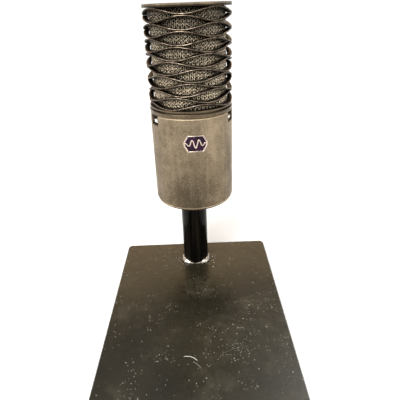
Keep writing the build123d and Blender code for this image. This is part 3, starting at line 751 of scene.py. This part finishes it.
def build_gauze(low, high):
    """Thin rippled sleeve behind the knit."""
    radius = screen_reach() - GAUZE_INSET * MM
    azimuth = np.arange(GAUZE_STEPS)[None, :] * TAU / GAUZE_STEPS
    height = np.linspace(low, high, GAUZE_LEVELS)[:, None]
    across = np.sin(97 * azimuth + 3 * np.sin(height / MM))
    ripple = GAUZE_RIPPLE * MM * (across + np.sin(5.1 * height / MM))
    outside = on_axis(azimuth, radius + ripple, height)
    inside = on_axis(azimuth, radius - GAUZE_THICKNESS * MM + ripple, height[::-1])
    points = np.concatenate([outside, inside]).reshape(-1, 3)
    gauze_piece = make_object("screen_gauze", points, loop_faces(2 * GAUZE_LEVELS, GAUZE_STEPS), gauze())
    add_painted_shade(gauze_piece)
    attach(gauze_piece, "microphone")
    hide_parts("mesh_screen")


def build_weld():
    """Uneven bead laid in overlapping ripples round the tube's foot, with spatter about it."""
    low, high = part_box("weld_bead")
    reach = (high.x - low.x) / 2 - TUBE_RADIUS
    rise = high.z - low.z
    turn = np.arange(WELD_STEPS)[:, None] * TAU / WELD_STEPS
    ripple = np.abs(np.sin(turn * 5 + 0.6 * np.sin(3 * turn)))
    # Heavy on the four diagonals and thin in between
    weight = 0.56 - 0.26 * np.cos(4 * turn) - 0.05 * np.cos(2 * turn) + 0.06 * np.sin(5 * turn + 1.3)
    size = np.clip(weight + 0.1 * ripple, 0.3, 1.0)
    arc = np.linspace(0, 1, WELD_ARC_STEPS)[None, :]
    bulge = WELD_RIPPLE * MM * ripple * np.sin(arc * TAU / 2)
    out = WELD_CLEAR * MM + reach * size * np.cos(arc * TAU / 4) ** 0.9 + bulge
    up = rise * size * np.sin(arc * TAU / 4) ** 1.1 + bulge
    inner_column = ((0, 0), (0, 1))
    out = np.pad(np.clip(out, 0, reach), inner_column, constant_values=-WELD_LAP * MM)
    up = np.pad(np.clip(up, 0, rise), inner_column)
    radius = TUBE_RADIUS + out
    points = np.stack([FOOT.x + radius * np.sin(turn), FOOT.y - radius * np.cos(turn), FOOT.z + up], -1)
    faces = loop_faces(*radius.shape)
    material = weld_metal()
    bead = make_object("weld_ripples", points.reshape(-1, 3), faces, material)
    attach(bead, "stand")
    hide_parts("weld_bead")
    build_spatter(material)


def build_spatter(material):
    """Drops of weld on the plate, most of them at the tube's sides."""
    rng = random.Random(7)
    points, faces = [], []
    for side, count in SPATTER:
        for _ in range(count):
            azimuth = math.radians(rng.gauss(side, SPATTER_SPREAD))
            distance = TUBE_RADIUS + (DROP_CLEAR + abs(rng.gauss(0, DROP_SPREAD))) * MM
            size = rng.uniform(*DROP_SIZES) * MM
            away = Vector((math.sin(azimuth), -math.cos(azimuth), 0)) * distance
            add_drop(points, faces, FOOT + away, size)
    spatter = make_object("weld_spatter", points, faces, material)
    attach(spatter, "stand")


def add_drop(points, faces, middle, size):
    """A small dome that sits on the plate, closed underneath."""
    first = len(points)
    for level in range(DROP_LEVELS):
        rise = level / DROP_LEVELS * TAU / 4
        for side in range(DROP_SIDES):
            turn = side * TAU / DROP_SIDES
            points.append((middle.x + size * math.cos(rise) * math.cos(turn),
                           middle.y + size * math.cos(rise) * math.sin(turn),
                           middle.z + DROP_HEIGHT * size * math.sin(rise)))
    top = len(points)
    points.append((middle.x, middle.y, middle.z + DROP_HEIGHT * size))
    for side in range(DROP_SIDES):
        ahead = (side + 1) % DROP_SIDES
        for level in range(DROP_LEVELS - 1):
            row = first + level * DROP_SIDES
            upper = row + DROP_SIDES
            faces.append((row + side, row + ahead, upper + ahead, upper + side))
        faces.append((top - DROP_SIDES + side, top - DROP_SIDES + ahead, top))
    faces.append(tuple(first + side for side in reversed(range(DROP_SIDES))))


def badge_place():
    """Azimuth of the badge's middle, height of its middle, and half its width and height."""
    co = points_of(frame["nodes"]["badge_frame"])
    azimuth = azimuth_of(co)
    half_width = BODY_RADIUS * math.sin((azimuth.max() - azimuth.min()) / 2)
    low, high = co[:, 2].min(), co[:, 2].max()
    return (azimuth.max() + azimuth.min()) / 2, (low + high) / 2, half_width, (high - low) / 2


def badge_border_line(half_width, half_height, side_steps=10, corner_steps=4):
    """Outer edge of the badge as points (x, z): a rectangle with cut and rounded corners."""
    across, down = (cut * MM for cut in BADGE_CUT)
    x, z = half_width, half_height
    corners = np.array([(x, z - down), (x - across, z), (across - x, z), (-x, z - down),
                        (-x, down - z), (across - x, -z), (x - across, -z), (x, down - z)])
    before = np.roll(corners, 1, 0) - corners
    after = np.roll(corners, -1, 0) - corners
    before *= BADGE_CORNER * MM / np.linalg.norm(before, axis=1, keepdims=True)
    after *= BADGE_CORNER * MM / np.linalg.norm(after, axis=1, keepdims=True)
    points = []
    for number, corner in enumerate(corners):
        for t in np.linspace(0, 1, corner_steps + 1):
            points.append(corner + before[number] * (1 - t) ** 2 + after[number] * t ** 2)
        start = corner + after[number]
        following = (number + 1) % len(corners)
        end = corners[following] + before[following]
        for t in np.linspace(0, 1, side_steps + 1)[1:-1]:
            points.append(start + (end - start) * t)
    return np.array(points)


def badge_wave_line(half):
    """Wave across the badge as points (x, z), dying away towards its ends."""
    x = np.linspace(-half, half, BADGE_WAVE_STEPS)
    z = -BADGE_WAVE * MM * np.cos(TAU / 4 * x / half) * np.cos(BADGE_WAVES * TAU / 2 * x / half)
    return np.stack([x, z], -1)


def raised_line(path, ahead, width, heights, turn, middle):
    """Points of a half-round bead along a path of points (x, z) that is wrapped on the body."""
    low, high = heights
    across = np.stack([-ahead[:, 1], ahead[:, 0]], -1) / np.linalg.norm(ahead, axis=1, keepdims=True)
    angle = np.linspace(0, TAU / 2, BADGE_ROUND)
    offset = -width / 2 * MM * np.cos(angle)
    rise = BODY_RADIUS + (low + (high - low) * np.sin(angle)) * MM
    place = path[:, None, :] + across[:, None, :] * offset[None, :, None]
    azimuth = turn + np.arcsin(place[..., 0] / BODY_RADIUS)
    return on_axis(azimuth, rise[None, :], middle + place[..., 1]).reshape(-1, 3)


def build_badge(material):
    """Rounded border and wave that stand on the CAD frame's flat ones."""
    turn, middle, half_width, half_height = badge_place()
    inset = BADGE_BORDER / 2 * MM
    line = badge_border_line(half_width - inset, half_height - inset)
    ahead = np.roll(line, -1, 0) - np.roll(line, 1, 0)
    points = raised_line(line, ahead, BADGE_BORDER, BADGE_BORDER_HEIGHTS, turn, middle)
    border = make_object("badge_border", points, loop_faces(len(line), BADGE_ROUND), material)
    line = badge_wave_line(half_width - BADGE_BORDER * MM)
    ahead = np.gradient(line, axis=0)
    points = raised_line(line, ahead, BADGE_WAVE_WIDTH, BADGE_WAVE_HEIGHTS, turn, middle)
    wave = make_object("badge_wave", points, strip_faces(len(line), BADGE_ROUND), material)
    for piece in (border, wave):
        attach(piece, "microphone")


def slot_materials():
    """A material for each slot of the CAD pieces that stay."""
    cap_low, cap_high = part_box("top_cap")
    cap_middle = (cap_low.z + cap_high.z) / 2
    # Lighter bottom and top edges of the body: rubbed wear with a painted highlight
    body = tumbled_steel("body_tumbled_steel", STEEL_DARK, STEEL_LIGHT, bottom=BODY_LOW.z, top=BODY_HIGH.z)
    return {
        "badge_chrome": plain_metal("badge_bright_metal", (0.66, 0.54, 0.46), 0.16, 0.35, 0.02),
        "plate_paint": paint_plate(),
        "rubber": plain_plastic("black_rubber", (0.02, 0.02, 0.02), 0.8),
        "tube_paint": gloss_paint("tube_black_gloss", (0.0016, 0.0013, 0.0009)),
        "stud_steel": plain_metal("zinc_plate", (0.6, 0.6, 0.58), 0.35),
        "base_steel": tumbled_steel("base_tumbled_steel", STEEL_DARK, STEEL_LIGHT),
        "screw_steel": plain_metal("plated_screws", (0.5, 0.49, 0.46), 0.3),
        "socket_brass": plain_metal("machined_brass", (0.6, 0.42, 0.17), 0.3),
        "connector_metal": plain_metal("satin_nickel", (0.5, 0.49, 0.46), 0.3),
        "connector_plastic": plain_plastic("moulded_black", (0.012, 0.012, 0.012), 0.45),
        "contact_metal": plain_metal("gold_plate", (0.9, 0.6, 0.2), 0.2),
        "body_steel": body,
        "badge_enamel": enamel(),
        "lever_plastic": plain_plastic("white_lever", (0.8, 0.79, 0.74), 0.35),
        "chassis_metal": plain_metal("milled_aluminium", (0.6, 0.6, 0.6), 0.35),
        "board_laminate": plain_plastic("green_solder_mask", (0.01, 0.09, 0.03), 0.3),
        "component_plastic": plain_plastic("component_sleeve", (0.03, 0.03, 0.04), 0.4),
        "core_iron": plain_metal("soft_iron", (0.2, 0.2, 0.21), 0.5),
        "coil_tape": plain_plastic("winding_tape", (0.5, 0.32, 0.06), 0.35),
        "wire_insulation": plain_plastic("wire_sleeve", (0.3, 0.02, 0.02), 0.45),
        "collar_steel": tumbled_steel("collar_rubbed_steel", COLLAR_DARK, COLLAR_LIGHT, 0.38),
        # Painted shade on the cap's rim below its middle
        "cap_steel": tumbled_steel("cap_tumbled_steel", CAP_DARK, CAP_LIGHT, 0.42, under=cap_middle),
        "magnet_metal": plain_metal("magnet_nickel", (0.6, 0.58, 0.55), 0.2),
        "terminal_plastic": plain_plastic("terminal_moulding", (0.6, 0.56, 0.42), 0.5),
        "ribbon_foil": plain_metal("ribbon_foil", (0.85, 0.85, 0.86), 0.25),
        "clamp_brass": plain_metal("clamp_brass", (0.62, 0.45, 0.2), 0.3),
    }


def dress_frame(materials):
    """Gives the CAD pieces that stay the material of their slot."""
    slots = {row["node"]: row["material_slot"] for row in frame["record"]["subparts"]}
    for node, piece in frame["nodes"].items():
        material = materials.get(slots[node])
        if material is None:
            continue
        for material_slot in piece.material_slots:
            material_slot.link = "OBJECT"
            material_slot.material = material


# Stage, light and camera

def build_stage():
    """A wide floor under the plate."""
    size = FLOOR_SIZE
    corners = [(-size, -size, 0), (size, -size, 0), (size, size, 0), (-size, size, 0)]
    mesh = bpy.data.meshes.new("floor")
    mesh.from_pydata(corners, [], [(0, 1, 2, 3)])
    mesh.materials.append(pale_floor())
    floor = bpy.data.objects.new("floor", mesh)
    bpy.context.scene.collection.objects.link(floor)


def add_card(name, place, size, radiance, colour=(1, 1, 1)):
    """Soft rectangular light that faces the tube's foot from a place around it."""
    data = bpy.data.lights.new(name, "AREA")
    data.shape = "RECTANGLE"
    data.size, data.size_y = size
    data.energy = radiance * math.pi * size[0] * size[1]
    data.color = colour
    light = bpy.data.objects.new(name, data)
    light.location = FOOT + Vector(place)
    light.rotation_euler = (-Vector(place)).to_track_quat("-Z", "Y").to_euler()
    bpy.context.scene.collection.objects.link(light)


def add_sky():
    """Room light: bright along the horizon, dimmer above it and white straight overhead."""
    world = bpy.data.worlds.new("studio")
    world.use_nodes = True
    tree = world.node_tree
    place = tree.nodes.new("ShaderNodeTexCoord")
    split = tree.nodes.new("ShaderNodeSeparateXYZ")
    tones = tree.nodes.new("ShaderNodeValToRGB")
    tree.links.new(place.outputs["Generated"], split.inputs["Vector"])
    tree.links.new(split.outputs["Z"], tones.inputs["Fac"])
    tree.links.new(tones.outputs["Color"], tree.nodes["Background"].inputs["Color"])
    stops = tones.color_ramp.elements
    for _ in range(len(SKY_TONES) - 2):
        stops.new(0.5)
    for stop, (position, tone) in zip(stops, SKY_TONES):
        stop.position = position
        stop.color = (tone, tone, tone, 1)
    tree.nodes["Background"].inputs["Strength"].default_value = SKY_STRENGTH
    bpy.context.scene.world = world


def add_sun():
    """Broad overhead softbox, far away so that the whole floor is lit alike."""
    data = bpy.data.lights.new("overhead", "SUN")
    data.energy = SUN_STRENGTH
    data.angle = math.radians(SUN_SPREAD)
    sun = bpy.data.objects.new("overhead", data)
    sun.rotation_euler = (-Vector(SUN_FROM)).to_track_quat("-Z", "Y").to_euler()
    bpy.context.scene.collection.objects.link(sun)


def build_lights():
    add_sky()
    add_sun()
    add_card("left_window", (-0.75, -0.3, 0.35), (0.3, 0.4), 4, (1, 0.97, 0.92))
    add_card("front_window", (-0.1, -0.75, 0.5), (0.3, 0.3), 8, (1, 0.98, 0.95))
    add_card("right_window", (0.7, -0.5, 0.3), (0.22, 0.45), 6, (1, 0.96, 0.9))
    add_card("warm_wall", (-0.1, 0.8, 0.56), (1.1, 0.22), 3.0, (1, 0.65, 0.3))
    add_card("top_right", (0.42, 0.5, 1.0), (0.24, 0.24), 11, (1, 0.98, 0.93))


def build_camera():
    data = bpy.data.cameras.new("camera")
    data.lens = CAMERA_LENS
    data.shift_y = CAMERA_SHIFT
    data.clip_start = 0.01
    camera = bpy.data.objects.new("camera", data)
    turn = (Matrix.Rotation(-math.radians(CAMERA_YAW), 4, "Z")
            @ Matrix.Rotation(math.radians(90 - CAMERA_PITCH), 4, "X")
            @ Matrix.Rotation(math.radians(CAMERA_ROLL), 4, "Z"))
    camera.matrix_world = Matrix.Translation(FOOT + CAMERA_OFFSET) @ turn
    bpy.context.scene.collection.objects.link(camera)
    bpy.context.scene.camera = camera


slot_finishes = slot_materials()
dress_frame(slot_finishes)
build_badge(slot_finishes["badge_chrome"])
steel_ring = ring_steel()
for ring_number in range(1, RING_COUNT + 1):
    build_ring(ring_number, steel_ring)
build_screen()
build_weld()
build_stage()
build_lights()
build_camera()
bpy.context.scene.view_settings.view_transform = "Standard"
